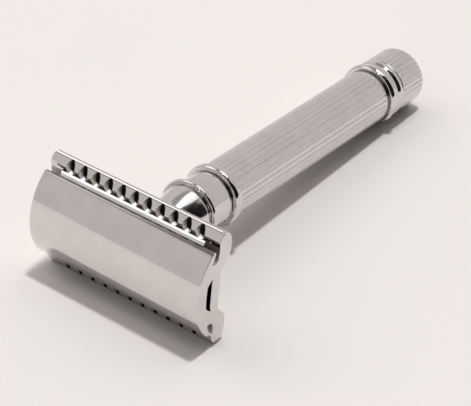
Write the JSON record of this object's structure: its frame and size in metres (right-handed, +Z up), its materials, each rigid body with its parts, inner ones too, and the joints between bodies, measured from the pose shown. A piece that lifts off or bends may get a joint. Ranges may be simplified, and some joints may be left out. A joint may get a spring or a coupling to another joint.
{
  "type": "safety razor",
  "caption": "Double-edge safety razor: domed cap and slotted guard plate clamp a thin blade; a fluted, ringed handle screws onto the head's threaded stud.",
  "frame": {"origin": "centre of the box's footprint, on the surface the razor lies on", "axes": "+X along the head, +Y along the handle from the head towards the knob, +Z up; the razor lies on its guard bar and its knob, so the handle axis drops 4 degrees towards the knob"},
  "size_m": [0.044, 0.1084, 0.0276],
  "materials": {
    "polished_chrome": "polished",
    "plain_steel": "turned",
    "blade_steel": "fine ground",
    "turned_brass": "turned",
    "groove_metal": "satin"
  },
  "bodies": {
    "base_plate": {"base_plate": "polished_chrome"},
    "cap": {"cap": "polished_chrome", "cap_stud": "plain_steel", "cap_pin_left": "plain_steel", "cap_pin_right": "plain_steel"},
    "blade": {"blade": "blade_steel"},
    "handle": {"neck_bead": "polished_chrome", "neck_insert": "turned_brass", "front_spacer": "groove_metal", "collar": "polished_chrome", "collar_spacer": "groove_metal", "grip_ring": "polished_chrome", "grip_bush_front": "turned_brass", "grip_barrel": "polished_chrome", "grip_bush_rear": "turned_brass", "rear_spacer": "groove_metal", "knob_ring": "polished_chrome", "stack_washer": "plain_steel", "stack_nut": "plain_steel", "tie_rod": "plain_steel", "knob": "polished_chrome"}
  },
  "joints": [
    {"name": "handle_turn", "type": "hinge", "parent": "base_plate", "child": "handle", "pos_m": [0, -0.0468, 0.01384], "axis": [0, 0.9976, -0.0696], "range_deg": [0, 2880]},
    {"name": "cap_lift", "type": "slide", "parent": "base_plate", "child": "cap", "axis": [0, -0.9976, 0.0696], "range_m": [0, 0.0064]},
    {"name": "blade_lift", "type": "slide", "parent": "base_plate", "child": "blade", "axis": [0, -0.9976, 0.0696], "range_m": [0, 0.0032]}
  ],
  "couplings": [
    {"joint": "cap_lift", "follows": "handle_turn", "m_per_rad": 0.00012732},
    {"joint": "blade_lift", "follows": "handle_turn", "m_per_rad": 0.000063662}
  ]
}
